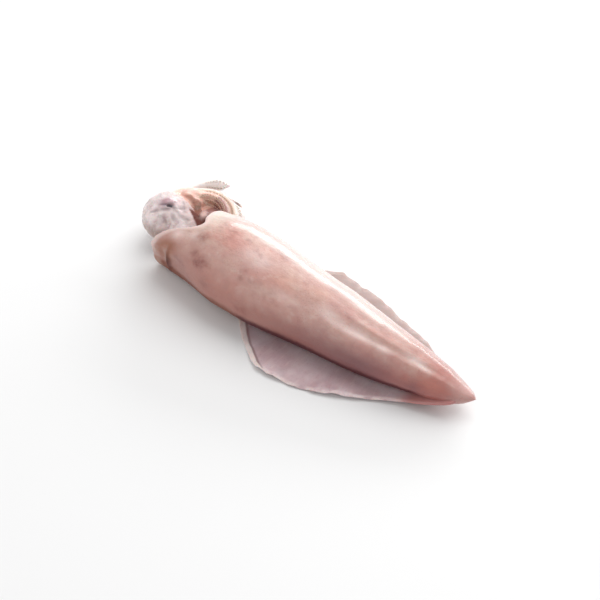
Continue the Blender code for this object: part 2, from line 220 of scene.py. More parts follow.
def axis_height(station):
    """The height of the mantle's middle: where it rests, or the tail's own lift if that is more.
    The very tip turns up."""
    resting = (1.0 - BOTTOM_CUT) * HEIGHT_SHARE * half_width(station)
    lift = TAIL_TIP_HEIGHT * np.exp(-((station / TAIL_LIFT_REACH) ** 4))
    return np.hypot(resting, lift) + TIP_UPTURN * bump(station, -TAIL_POINT, 0.0060)


def axis_side(station):
    """The mantle's middle swings a little to one side at the tail."""
    return TAIL_SWING * np.clip(1.0 - station / TAIL_SWING_REACH, 0.0, 1.0) ** 2


def pressed(height, softness=0.0022):
    """A soft maximum of the height and 0: (h + sqrt(h^2 + s^2)) / 2."""
    return 0.5 * (height + np.hypot(height, softness))


def mantle_surface(station, angle, inset=0.0):
    """An ellipse round the axis. Its near side swells halfway and is tucked in by the mouth, where
    the far shoulder sags."""
    across = half_width(station) - inset
    up = HEIGHT_SHARE * half_width(station) - inset
    tuck = 0.0088 * ring_bump(angle, 194, 42) * ramp(station, 0.187, 0.055)
    swell = 0.0034 * ring_bump(angle, 196, 42) * bump(station, 0.162, 0.024)
    sag = 0.0035 * ring_bump(angle, 64, 36) * ramp(station, 0.205, 0.035)
    side = axis_side(station) + (across + swell - tuck) * np.cos(angle)
    height = axis_height(station) + up * np.sin(angle) - sag
    return place(station, side, pressed(height - inset) + inset)


def rim_station(angle):
    """Where the mantle ends: a slanting ring with a notch over the funnel and a lobe below."""
    slant = 0.013 * np.cos(angle - np.radians(210))
    notch = 0.0186 * ring_bump(angle, 99, 25)
    lobe = 0.0093 * ring_bump(angle, 269, 31)
    ragged = 0.0005 * np.sin(9.0 * angle + 1.0) + 0.0003 * np.sin(17.0 * angle + 2.6)
    return RIM_MEAN_STATION + slant - notch + lobe + ragged


# %% The mantle's relief
# A table of spots on the mantle has a row for each: its station in mm, its angle, its size along
# in mm, the spread of its angle (0 for a round spot), and its height in mm or its strength.
FOLDS = (
    (82, 115, 30, 8, 1.0), (37, 105, 13, 8, 0.9), (80, 98, 34, 7, -0.8), (72, 78, 46, 10, -0.4),
    (22, 118, 10, 9, -0.4), (226, 150, 12, 16, -0.7), (236, 128, 4, 26, -0.8),
)
# Dents that give the belly its soft, uneven look
DENTS = (
    (204, 144, 6, 0, -0.6), (217, 116, 5, 0, -0.5), (186, 160, 9, 0, -0.5), (150, 120, 11, 0, -0.4),
    (128, 152, 9, 0, -0.4),
)
# The crease across the near side: the middle and spread of its angle
CREASE_ANGLE = (184, 24)


def spots(station, angle, table, bend=0.0):
    """The sum of a table's spots: each is a bell along the station times a bell round the mantle.
    A bend lets it wander round the mantle by that many degrees, in a sine of the station."""
    total = 0.0
    for middle, turn, size, spread, strength in table:
        bent = turn + bend * np.sin(station * 60.0 + turn)
        spread = spread or np.degrees(size * MM / half_width(middle * MM))
        spot = bump(station, middle * MM, size * MM) * ring_bump(angle, bent, spread)
        total = total + strength * spot
    return total


def crease_station(angle):
    """The skin creases along a line across the near side: a straight line of the angle."""
    return 0.2408 + 0.0050 * (np.degrees(angle) - 180.0) / 42.0


def mantle_relief(points, station, angle):
    """How far the skin stands out: lumps of several sizes, folds, and a crease by the near lobe."""
    relief = 0.50 * lumps(points, 0.034, 1) + 0.30 * lumps(points, 0.013, 2, (0.6, 1, 1))
    relief += 0.10 * lumps(points, 0.0055, 3, (0.6, 1, 1)) + 0.04 * lumps(points, 0.0022, 12)
    relief += 0.30 * ramp(station, 0.185, 0.055) * lumps(points, 0.0070, 4, (0.4, 1, 1))
    relief += 0.26 * ramp(station, 0.085, -0.05) * lumps(points, 0.0070, 5, (1.5, 0.8, 0.8))
    relief += spots(station, angle, FOLDS, 4.0) + spots(station, angle, DENTS)
    crease = ring_bump(angle, *CREASE_ANGLE) * bump(station, crease_station(angle), 0.0018)
    swell = ring_bump(angle, 180, 26) * bump(station, crease_station(angle) + 0.0060, 0.0032)
    return MM * (ramp(station, 0.0, 0.02) * relief - 2.4 * crease + swell)


def mantle_rings(rows, angle, rim):
    """The outer rings with their relief, and the station of each of their points."""
    outer, stations = [], []
    for share in np.linspace(0.0, 1.0, rows + 1)[1:] ** 1.2:
        slanted = ramp(share, 0.55, 0.45)
        station = share * (MANTLE_LENGTH * 0.9 * (1.0 - slanted) + rim * slanted)
        stations.append(station - TAIL_POINT * (1.0 - share) ** 2)
        outer.append(mantle_surface(stations[-1], angle))
    outer, stations = np.array(outer), np.array(stations)
    relief = mantle_relief(outer, stations, angle[None, :])
    return outer + grid_normals(outer) * relief[..., None], stations


# %% Marks for the mantle's colours
# Soft brown-red blotches
BLOTCHES = (
    (214.5, 115, 4.6, 0, 0.9), (204, 144, 4.8, 0, 1.0), (208, 150, 3, 0, 0.9),
    (212, 139, 3.4, 0, 0.6), (222, 166, 4.6, 0, 0.6), (229, 160, 4, 0, 0.7),
    (236, 150, 3.6, 0, 0.5), (196, 172, 5.2, 0, 0.5), (170, 136, 3, 0, 0.5), (160, 176, 6, 0, 0.5),
)
# Broader patches by their colour. The pale ones are mostly painted wet highlights, along a ridge
# of the belly and by the rim
PATCHES = {
    "pale": (
        (37, 104, 9, 8, 0.9), (30, 111, 4, 6, 0.5), (60, 118, 6, 7, 0.8), (75, 118, 6.5, 8, 0.7),
        (89, 119, 11, 9, 1.0), (104, 115, 9, 9, 0.6), (135, 128, 10, 8, 0.4),
        (169, 106, 12, 12, 0.8), (222, 117, 5, 7, 0.6), (234, 127, 6, 9, 1.0),
    ),
    "red": (
        (20, 146, 10, 24, 0.8), (38, 154, 7, 18, 0.5), (24, 96, 8, 12, 0.45), (93, 90, 4, 7, 0.35),
        (192, 104, 9, 14, 0.75), (209, 106, 6, 9, 0.5), (58, 96, 11, 6, 0.3), (72, 101, 8, 6, 0.5),
    ),
    "peach": ((117, 97, 9, 12, 0.5), (141, 106, 15, 15, 0.5)),
}


def mantle_marks(station, angle, from_rim):
    """Masks from 0 to 1 for what has its own place on the mantle, painted highlights among them."""
    marks = {colour: spots(station, angle, table) for colour, table in PATCHES.items()}
    marks["blotch"] = np.clip(spots(station, angle, BLOTCHES), 0.0, 1.0)
    signed = np.degrees((angle + np.pi) % (2.0 * np.pi) - np.pi)
    # A painted highlight: the far side is paler up to its shoulder, most along the middle of its
    # length
    far_highlight = 0.35 + 0.30 * ramp(station, 0.040, 0.055) - 0.25 * ramp(station, 0.165, 0.030)
    marks["far_highlight"] = far_highlight * ramp(signed, 84.0, -18.0) * ramp(signed, -45.0, 40.0)
    # A painted highlight on the far shoulder by the rim
    marks["shoulder"] = ring_bump(angle, 68, 30) * bump(from_rim, 0.004, 0.013)
    marks["ochre"] = ring_bump(angle, 160, 22) * bump(from_rim, 0.0145, 0.0105)
    marks["ochre"] += 0.42 * ring_bump(angle, 193, 24) * bump(from_rim, 0.004, 0.009)
    marks["lobe"] = ring_bump(angle, 196, 48) * bump(from_rim, 0.0, 0.010)
    marks["crease"] = ring_bump(angle, *CREASE_ANGLE) * bump(station, crease_station(angle), 0.0024)
    marks["top"] = np.sin(angle)
    return marks


# %% Build the mantle
def build_mantle(rows=328, sides=224, lip_rows=7, mouth_rows=22):
    """Rings from the tail to the rim, round the lip by half a circle, and down the mouth."""
    angle = full_turn(sides)
    rim = rim_station(angle)
    outer, stations = mantle_rings(rows, angle, rim)
    edge_shift = outer[-1] - mantle_surface(rim, angle)
    lip, inner = WALL / 2.0, []
    for turn in np.linspace(0.0, np.pi, lip_rows + 2)[1:-1]:
        ring = mantle_surface(rim + lip * np.sin(turn), angle, lip * (1.0 - np.cos(turn)))
        inner.append(ring + edge_shift)
    for share in np.linspace(0.0, 1.0, mouth_rows):
        ring = mantle_surface(rim - share * MOUTH_DEPTH, angle, WALL * (1.0 + share))
        inner.append(ring + edge_shift * (1.0 - share))
    rings = np.concatenate([outer, np.array(inner)])
    inside = np.concatenate([np.zeros(rows), np.linspace(0.0, 1.0, lip_rows), np.ones(mouth_rows)])
    depth = np.concatenate([np.zeros(rows + lip_rows), np.linspace(0.0, 1.0, mouth_rows)])
    from_rim = np.concatenate([rim - stations, np.zeros((lip_rows + mouth_rows, sides))])
    station = np.concatenate([stations, np.tile(rim, (lip_rows + mouth_rows, 1))])
    values = {"inside": inside[:, None], "depth": depth[:, None], "from_rim": from_rim}
    values.update(mantle_marks(station, angle, from_rim))
    for key, grid in values.items():
        grid = np.broadcast_to(grid, rings.shape[:2])
        values[key] = with_poles(grid, grid[0, 0], grid[-1, -1])
    tail_tip = rings[0].mean(axis=0) + np.array([0.0004, 0.0, 0.0])
    return new_piece("mantle", *closed_tube(rings, tail_tip, rings[-1].mean(axis=0)), **values)


mantle = build_mantle()
print("mantle:", len(mantle.data.vertices), "vertices")

# %% [markdown]
# ## The fins
# A fin is a sheet of muscle a few millimetres thick at its root, and as thin as paper at its
# edge. Both fins are one function of how far along and how far out a point is. The two differ in
# their outline, and the near one runs on to the tail tip as a narrow ledge.

# %% Fins
FIN_ROOT_SIDE = 0.004
# Each fin: its side, its reach, the stations of its front root, corner and rear root, the two
# powers of its trailing edge, and how far its ledge by the tail stands out beyond the mantle
NEAR_FIN = {"side": -1, "reach": 0.0539, "front": 0.187, "corner": 0.133, "rear": 0.0045,
            "fullness": 2.41, "flare": 1.8, "ledge": 0.0021}
FAR_FIN = {"side": 1, "reach": 0.0640, "front": 0.200, "corner": 0.147, "rear": 0.0300,
           "fullness": 1.0, "flare": 0.33, "ledge": -0.0040}
# The distance between two waves of a fin, and between two frills of its edge
WAVE_LENGTH = 0.052
FRILL_LENGTH = 0.0135


def fin_reach(station, fin):
    """How far out the fin goes at a station.
    A leading and a trailing curve meet at the corner, which a sum of high powers rounds off. Behind
    it the near fin runs on to the tail tip as a narrow ledge beside the mantle."""
    front, corner, rear = fin["front"], fin["corner"], fin["rear"]
    leading = np.clip((front - station) / (front - corner), 1e-6, 1.0) ** 0.54
    behind = np.clip((station - rear) / (corner - rear), 1e-6, 1.0)
    trailing = (1.0 - (1.0 - behind) ** fin["fullness"]) ** fin["flare"]
    outline = fin["reach"] * (leading ** -12.0 + trailing ** -12.0 - 1.0) ** (-1.0 / 12.0)
    ledge = (half_width(station) + fin["ledge"]) * ramp(station, 0.001, 0.006)
    reach = (outline ** 8.0 + (ledge * (station < corner)) ** 8.0) ** 0.125
    ragged = 1.0 + 0.005 * np.sin(station * 330.0 + fin["side"]) + 0.003 * np.sin(station * 730.0)
    return np.maximum(reach * ragged, FIN_ROOT_SIDE + 0.0005)


def from_leading_edge(station, out, fin):
    """The distance along the body from a point of the fin to the leading edge at the same reach."""
    edge_station = np.linspace(fin["front"], fin["corner"], 200)
    edge_reach = np.maximum.accumulate(fin_reach(edge_station, fin))
    return np.interp(out, edge_reach, edge_station) - station


def build_fin(name, fin, columns=250, lanes=44):
    """Each ring of the grid runs out over the top of the fin and back under it."""
    even = np.linspace(0.0, 1.0, columns + 2)[1:-1]
    share = 0.6 * smooth_step(even) + 0.4 * even
    station = (fin["front"] + (fin["rear"] - fin["front"]) * share)[:, None]
    reach = fin_reach(station, fin)
    lane = np.sin(np.linspace(0.0, 0.5 * np.pi, lanes))[None, :]
    out = axis_side(station) * fin["side"] + FIN_ROOT_SIDE + lane * (reach - FIN_ROOT_SIDE)
    thickness = 0.0007 + 0.0035 * (1.0 - lane) ** 0.8
    round_edge = np.sqrt(1.0 - (0.995 * lane) ** 24)
    belly = np.maximum(axis_height(station) - HEIGHT_SHARE * half_width(station), 0.0)
    rise = 0.0055 * np.clip(1.0 - station / 0.040, 0.0, 1.0)
    wave = 1.0 + np.sin(station * 2.0 * np.pi / WAVE_LENGTH + fin["side"])
    frill = 1.0 + np.sin(station * 2.0 * np.pi / FRILL_LENGTH + 2.0 * fin["side"])
    wavy = (0.0011 * lane ** 2 * wave + 0.0004 * lane ** 6 * frill) * ramp(reach, 0.016, 0.020)
    middle = 0.0004 + belly + rise + wavy + 0.5 * thickness
    middle = np.minimum(middle, axis_height(station) - 0.0010)
    upper = place(station, fin["side"] * out, middle + 0.5 * thickness * round_edge)
    lower = place(station, fin["side"] * out, middle - 0.5 * thickness * round_edge)
    front_gap = from_leading_edge(station, out, fin)
    relief = 0.00020 * lumps(upper, 0.0080, 6, (1, 0.5, 1))
    relief = relief + 0.00007 * lumps(upper, 0.0026, 7, (1, 0.3, 1))
    relief = relief + 0.00045 * ramp(front_gap, 0.0062, 0.0016)
    upper[..., 2] += relief * round_edge * np.minimum(1.0, 8.0 * (1.0 - lane) + 0.3)
    rings = np.concatenate([upper, lower[:, ::-1]], axis=1)
    values = {"far": with_poles(np.full(rings.shape[:2], 0.5 + 0.5 * fin["side"]), 0.0, 0.0)}
    for key, grid in (("from_edge", (1.0 - lane) * reach), ("from_front", front_gap)):
        values[key] = with_poles(np.concatenate([grid, grid[:, ::-1]], axis=1), 0.0, 0.0)
    tube = closed_tube(rings, rings[0].mean(axis=0), rings[-1].mean(axis=0))
    return new_piece(name, *tube, **values)


fins = [build_fin("near_fin", NEAR_FIN), build_fin("far_fin", FAR_FIN)]
print("fins:", [len(fin.data.vertices) for fin in fins], "vertices")

# %% [markdown]
# ## Head, funnel, arms and tentacles
# These parts flow into each other, so they are first made as closed tubes and egg shapes that
# overlap, and then melted into one skin by a voxel remesh. Its smooth shape is relaxed, and each
# of its points is told which limb it is on, how far along it and on which side of it. The relief
# and the colours use those values, so they follow each arm.

# %% Paths of the limbs
CLEARANCE = 0.0003
CROWN_ANGLE = np.radians(-40)
ARM_LEAD = np.radians(14)
CROWN_RADIUS = 0.0105
CROWN_HEIGHT = 0.0205
ARM_BASE_RADIUS = 0.0060
ARM_TIP_RADIUS = 0.0010
STALK_RADIUS = 0.0030
CLUB_SWELL = 0.0020
# Each arm: its step out from the ring, its height there, and the angle of the ring where it ends
ARMS = (
    (0.0120, 0.0075, 112), (0.0040, 0.0185, 205), (-0.0030, 0.0195, 232), (-0.0040, 0.0135, 262),
    (-0.0045, 0.0066, 285), (0.0030, 0.0060, 222), (0.0045, 0.0125, 190), (0.0190, 0.0062, 96),
)
# Each tentacle: the stations, sides and heights that its middle line goes through
TENTACLES = (
    ((0.287, 0.299, 0.307, 0.306, 0.298, 0.288), (0.030, 0.040, 0.055, 0.070, 0.081, 0.089),
     (0.018, 0.013, 0.010, 0.009, 0.008, 0.007)),
    ((0.285, 0.293, 0.295, 0.288, 0.274, 0.258, 0.244),
     (0.032, 0.044, 0.057, 0.068, 0.073, 0.067, 0.057),
     (0.012, 0.008, 0.005, 0.004, 0.004, 0.004, 0.0046)),
)


def curve_through(knots, count):
    """Points along a Catmull-Rom curve: a cubic between knots, steered by the knots beside them."""
    ends = [2.0 * knots[0] - knots[1], 2.0 * knots[-1] - knots[-2]]
    padded = np.concatenate([ends[:1], knots, ends[1:]])
    spot = np.linspace(0.0, len(knots) - 1.0 - 1e-9, count)
    k = spot.astype(int)
    t = (spot - k)[:, None]
    a, b, c, d = padded[k], padded[k + 1], padded[k + 2], padded[k + 3]
    return 0.5 * (2.0 * b + (c - a) * t + (2.0 * a - 5.0 * b + 4.0 * c - d) * t ** 2
                  + (3.0 * b - a - 3.0 * c + d) * t ** 3)


def make_limb(path, radius, inner_side):
    """A limb as a dict: its path, radii, direction, and the side that its suckers are on."""
    path = path.copy()
    path[:, 2] = np.maximum(path[:, 2], radius + CLEARANCE)
    ahead = unit(np.gradient(path, axis=0))
    inner_side = inner_side - ahead * np.sum(inner_side * ahead, axis=1, keepdims=True)
    length = np.concatenate([[0.0], np.cumsum(np.linalg.norm(np.diff(path, axis=0), axis=1))])
    return {"path": path, "radius": radius, "ahead": ahead, "inner": unit(inner_side),
            "length": length}


def arm_limb(index, step, height, end_angle, count=90):
    """An arm leaves its place on the crown's circle and settles into the ring beside the mouth."""
    share = np.linspace(0.0, 1.0, count)
    begin = CROWN_ANGLE - ARM_LEAD
    ring_angle = begin + share * (np.radians(end_angle) - begin)
    crown_turn = np.radians(22.5 + 45.0 * index)
    settled = ramp(share, 0.0, 0.4)
    out = (1.0 - settled) * CROWN_RADIUS * np.cos(crown_turn) + settled * step
    radius = ARM_TIP_RADIUS + (ARM_BASE_RADIUS - ARM_TIP_RADIUS) * (1.0 - share) ** 0.7
    start_height = CROWN_HEIGHT + CROWN_RADIUS * np.sin(crown_turn)
    sinking = ramp(share, 0.35, 0.6) * 0.55
    level = (1.0 - settled) * start_height + settled * height * (1.0 - sinking)
    path = place(RING_STATION + (RING_RADIUS + out) * np.cos(ring_angle),
                 RING_SIDE + (RING_RADIUS + out) * np.sin(ring_angle), level)
    to_ring = place(RING_STATION, RING_SIDE, 0.030) - path
    if index == len(ARMS) - 1:  # the outermost arm turns its suckers away from the ring
        to_ring = to_ring * np.array([-1.0, -1.0, 1.0])
    crown_side = np.cos(crown_turn)
    to_crown = np.stack([crown_side * np.cos(ring_angle), -crown_side * np.sin(ring_angle),
                         np.full(count, -np.sin(crown_turn))], axis=1)
    inner_side = unit(to_ring) * settled[:, None] + to_crown * (1.0 - settled[:, None])
    return make_limb(path, radius, inner_side)


def tentacle_limb(stations, sides, heights, count=110):
    """A tentacle is a thin stalk with a club near its end, where its suckers are."""
    path = curve_through(place(stations, sides, heights), count)
    share = np.linspace(0.0, 1.0, count)
    stalk = STALK_RADIUS * (1.0 - 0.6 * ramp(share, 0.9, 0.1))
    radius = stalk + CLUB_SWELL * bump(share, 0.86, 0.10)
    return make_limb(path, radius, place(RING_STATION, RING_SIDE, 0.045) - path)


arms = [arm_limb(k, *arm) for k, arm in enumerate(ARMS)]
tentacles = [tentacle_limb(*tentacle) for tentacle in TENTACLES]
limbs = arms + tentacles
print("arm lengths in mm:", [round(float(limb["length"][-1]) * 1000) for limb in limbs])


# %% Raw shapes of the head end
def tube_rings(path, radius, sides):
    """Circles across a path, each upright to the path's direction there."""
    ahead = unit(np.gradient(path, axis=0))
    across = unit(np.cross(ahead, (0.0, 0.0, 1.0)))
    up = np.cross(across, ahead)
    turn = full_turn(sides)[:, None]
    ring = across[:, None] * np.cos(turn) + up[:, None] * np.sin(turn)
    return path[:, None] + ring * np.asarray(radius)[:, None, None], ahead


def raw_limb(limb):
    """The limb's closed tube, with a rounded tip."""
    rings, ahead = tube_rings(limb["path"], limb["radius"], 24)
    first = limb["path"][0] - ahead[0] * limb["radius"][0] * 0.3
    return closed_tube(rings, first, limb["path"][-1] + ahead[-1] * limb["radius"][-1])


def raw_egg(middle, half):
    """An egg shape: a unit ball's rings, from pole to pole, times three half sizes."""
    down = np.linspace(0.0, np.pi, 34)[1:-1, None]
    around = full_turn(48)
    ball = np.stack(np.broadcast_arrays(
        np.sin(down) * np.cos(around), np.sin(down) * np.sin(around), np.cos(down)), axis=-1)
    pole = np.array([0.0, 0.0, half[2]])
    return closed_tube(middle + ball * half, middle + pole, middle - pole)


def raw_neck():
    """An oval tube from inside the mantle to the head, which bends with the head."""
    share = np.linspace(0.0, 1.0, 30)
    middle = place(0.198 + 0.077 * share, HEAD_SIDE * smooth_step(share), 0.0190)
    turn = full_turn(48)
    oval = np.stack([np.zeros(48), 0.0140 * np.cos(turn), 0.0150 * np.sin(turn)], axis=1)
    return closed_tube(middle[:, None] + oval, middle[0], middle[-1])


def raw_funnel():
    """A short cone with a hollow end, which looks out of the notch in the mantle's rim."""
    share = np.linspace(0.0, 1.0, 24)
    path = place(0.216 + 0.0348 * share, 0.012 + 0.0091 * share, 0.025 + 0.0090 * share)
    rings, ahead = tube_rings(path, 0.0080 - 0.0042 * share, 32)
    mouth = path[-1] + np.linspace(0.0, -0.008, 8)[1:, None] * ahead[-1]
    hollow, _ = tube_rings(mouth, np.linspace(0.0025, 0.0018, 7), 32)
    return closed_tube(np.concatenate([rings, hollow]), path[0], mouth[-1])


# %% Melt them into one skin
def joined(shells):
    """Several (points, faces) shells as one list of points and one of faces."""
    points, faces, start = [], [], 0
    for shell_points, shell_faces in shells:
        faces += [[corner + start for corner in face] for face in shell_faces]
        points.append(shell_points)
        start += len(shell_points)
    return np.concatenate(points), faces


def melt(name, shells, voxel):
    """One skin round all the shells: a voxel remesh, applied."""
    lump = new_piece(name, *joined(shells))
    remesh = lump.modifiers.new("melt", "REMESH")
    remesh.mode = "VOXEL"
    remesh.voxel_size = voxel
    bpy.context.view_layer.update()
    graph = bpy.context.evaluated_depsgraph_get()
    melted = bpy.data.meshes.new_from_object(lump.evaluated_get(graph))
    lump.modifiers.clear()
    lump.data = melted
    return lump


def read(items, name, width, kind=np.float32):
    """One property of a mesh's points or edges, as an array with a row for each."""
    flat = np.empty(len(items) * width, kind)
    items.foreach_get(name, flat)
    return flat.reshape(-1, width)


def move_points(mesh, points):
    """Puts the mesh's points at these places."""
    mesh.vertices.foreach_set("co", points.astype(np.float32).ravel())
    mesh.update()


def relaxed(mesh, points, rounds, strength=0.5):
    """Moves each point part of the way to the mean of its neighbours, several times."""
    ends = read(mesh.edges, "vertices", 2, np.int32)
    count = np.bincount(ends.ravel(), minlength=len(points))[:, None]
    for _ in range(rounds):
        total = np.stack([
            np.bincount(ends[:, 0], points[ends[:, 1], axis], len(points))
            + np.bincount(ends[:, 1], points[ends[:, 0], axis], len(points))
            for axis in range(3)], axis=1)
        points = points + strength * (total / count - points)
    return points


HEAD_VOXEL = 0.00075
WEB_MIDDLE = place(RING_STATION, RING_SIDE, 0.0089)
WEB_HALF = np.array([0.0130, 0.0130, 0.0085])
FUNNEL_TOP = place(0.2472, 0.0178, 0.0364)
EYE_RADIUS = 0.0097
EYE_STEP_OUT = 0.0112
# The eyes share one axis. The slit runs at a right angle to it and to a slanting line
EYE_AXIS = unit(np.array([0.30, -0.30, 0.905]))
SLANT = np.array([-0.579, 0.697, 0.423])
EYE_ALONG = unit(np.cross(SLANT, EYE_AXIS))
EYE_ACROSS = np.cross(EYE_AXIS, EYE_ALONG)
EYE_MIDDLES = [HEAD_MIDDLE + side * EYE_STEP_OUT * EYE_AXIS for side in (1.0, -1.0)]
# The lower eye stays clear of the floor
EYE_MIDDLES[1][2] = max(EYE_MIDDLES[1][2], EYE_RADIUS + CLEARANCE)
raw_shapes = [raw_limb(limb) for limb in limbs]
raw_shapes += [raw_egg(HEAD_MIDDLE, HEAD_HALF), raw_neck(), raw_funnel()]
raw_shapes += [raw_egg(WEB_MIDDLE, WEB_HALF)]
raw_shapes += [raw_egg(middle, np.full(3, EYE_RADIUS)) for middle in EYE_MIDDLES]
head = melt("head_and_arms", raw_shapes, HEAD_VOXEL)
print("head and arms:", len(head.data.vertices), "vertices")


# %% Tell each point where it is
def nearest_on(points, curve, radius=0.0):
    """For each point: the index of the curve's nearest spot, and the gap to the surface of the tube
    round it. The points go a share at a time, which saves memory."""
    index, gap = [], []
    for part in np.array_split(points, 1 + len(points) // 20000):
        away = np.linalg.norm(part[:, None] - curve, axis=2) - radius
        index.append(away.argmin(axis=1))
        gap.append(away.min(axis=1))
    return np.concatenate(index), np.concatenate(gap)


def limb_values(points):
    """For each point: the gap to the nearest limb, that limb's number, the share along it, and how
    far the point looks to its inner side."""
    best = np.full(len(points), np.inf)
    number, share, inner = np.full(len(points), -1), np.zeros(len(points)), np.zeros(len(points))
    for k, limb in enumerate(limbs):
        spot, gap = nearest_on(points, limb["path"][::2], limb["radius"][::2])
        rows = np.flatnonzero(gap < best)
        spot = spot[rows] * 2
        best[rows], number[rows] = gap[rows], k
        share[rows] = limb["length"][spot] / limb["length"][-1]
        inner[rows] = np.sum(unit(points[rows] - limb["path"][spot]) * limb["inner"][spot], axis=1)
    return best, number, share, inner


# Marks round an eye in mm: the middle and half size along its slit, the same across it, and the
# power of the bell along it
EYE_MARKS = {
    "slit": (2.2, 2.4, -1.2, 1.0, 4),
    "crease": (0.0, 6.0, -0.2, 1.0, 4),
    "lid": (1.0, 5.5, 3.6, 3.0, 4),
    "lower_lid": (-3.6, 3.4, -6.2, 2.2, 2),
}


def eye_marks(points, middle, axis):
    """Masks round one eye, from places measured along its slit, across it and out along its axis.
    The eye's own slit is short. A long crease runs on from it, under a swollen lid, in a mauve
    ring, and folds spread below."""
    away = points - middle
    along, across, out = away @ EYE_ALONG, away @ EYE_ACROSS, away @ axis
    across = across + 0.0008 * lumps(points, 0.0050, 13)
    marks = {"mauve": bump(np.hypot(along + 0.0025, across), 0.0, 0.0052)}
    for key, (ahead, reach, up, width, power) in EYE_MARKS.items():
        bell = ((along / MM - ahead) / reach) ** power
        marks[key] = np.exp(-bell - ((across / MM - up) / width) ** 2)
    turn = np.arctan2(across, along) + 0.45 * lumps(points, 0.0070, 14)
    spokes = np.sin(8.0 * turn + 0.8) * (0.6 + 0.6 * lumps(points, 0.0090, 15))
    below = ramp(across, 0.004, -0.004)
    marks["folds"] = spokes * bump(np.hypot(along, across), 0.0130, 0.0060) * below
    return {key: mask * ramp(out, 0.0010, 0.0045) for key, mask in marks.items()}


def funnel_end_highlight(points):
    """1 on top of the funnel's end, where its pink skin gets a painted highlight, fading within a
    few millimetres.
    """
    return bump(np.linalg.norm(points - FUNNEL_TOP, axis=1), 0.0, 0.0032)


# The line where the dark cleft begins: a point of it, and its slope
CLEFT_X, CLEFT_Y, CLEFT_SLOPE = -0.1336, 0.0159, 0.62


def head_cleft(points):
    """The shaded wedge between the head, the funnel and the first arms, beyond a slanting line, and
    the rosy painted shade on the skin beside that line."""
    beyond = points[:, 1] - CLEFT_Y + CLEFT_SLOPE * (points[:, 0] - CLEFT_X)
    wedge = ramp(beyond, -0.00075, 0.0015) * ramp(points[:, 0], -0.142, 0.004)
    return wedge * (1.0 - funnel_end_highlight(points)), ramp(beyond, -0.0105, 0.0105)


def head_shade(points):
    """1 where the head's skin is in shade: close to the mantle's rim, or low on its near side."""
    angle = full_turn(160)
    _, gap = nearest_on(points, mantle_surface(rim_station(angle), angle))
    low = ramp(points[:, 1], -0.0005, -0.0065) * ramp(points[:, 2], 0.0285, -0.0085)
    return np.maximum(ramp(gap, 0.0110, -0.0085), low)


# Furrows of the head's skin, in mm: the points that the middle line of each goes through
HEAD_FURROWS = (
    ((-146.3, 8.7, 37.1), (-142.7, 9.2, 35.7), (-138.1, 8.7, 34.3), (-132.8, 7.6, 33.7),
     (-128.3, 7.4, 34.0)),
    ((-154.8, -0.2, 35.3), (-151.4, 0.8, 36.3), (-147.8, 4.0, 37.2), (-146.3, 8.7, 37.1)),
    ((-145.0, 19.5, 36.0), (-142.1, 17.5, 35.3), (-140.0, 15.0, 34.5)),
)


def head_furrows(points):
    """1 along each furrow: a bell of the distance to its curve, a little uneven."""
    curves = [curve_through(np.array(knots) * MM, 60) for knots in HEAD_FURROWS]
    gap = np.min([nearest_on(points, curve)[1] for curve in curves], axis=0)
    return bump(gap, 0.0, 0.0017) * (0.8 + 0.4 * lumps(points, 0.0040, 18))


# %% Carve and mark the head end
# How far each mark of the head stands out, in mm
MARK_RELIEF = {"folds": 0.45, "slit": -1.3, "crease": -0.9, "lid": 1.0, "lower_lid": 0.9,
               "furrows": -0.5, "pits": -0.35}


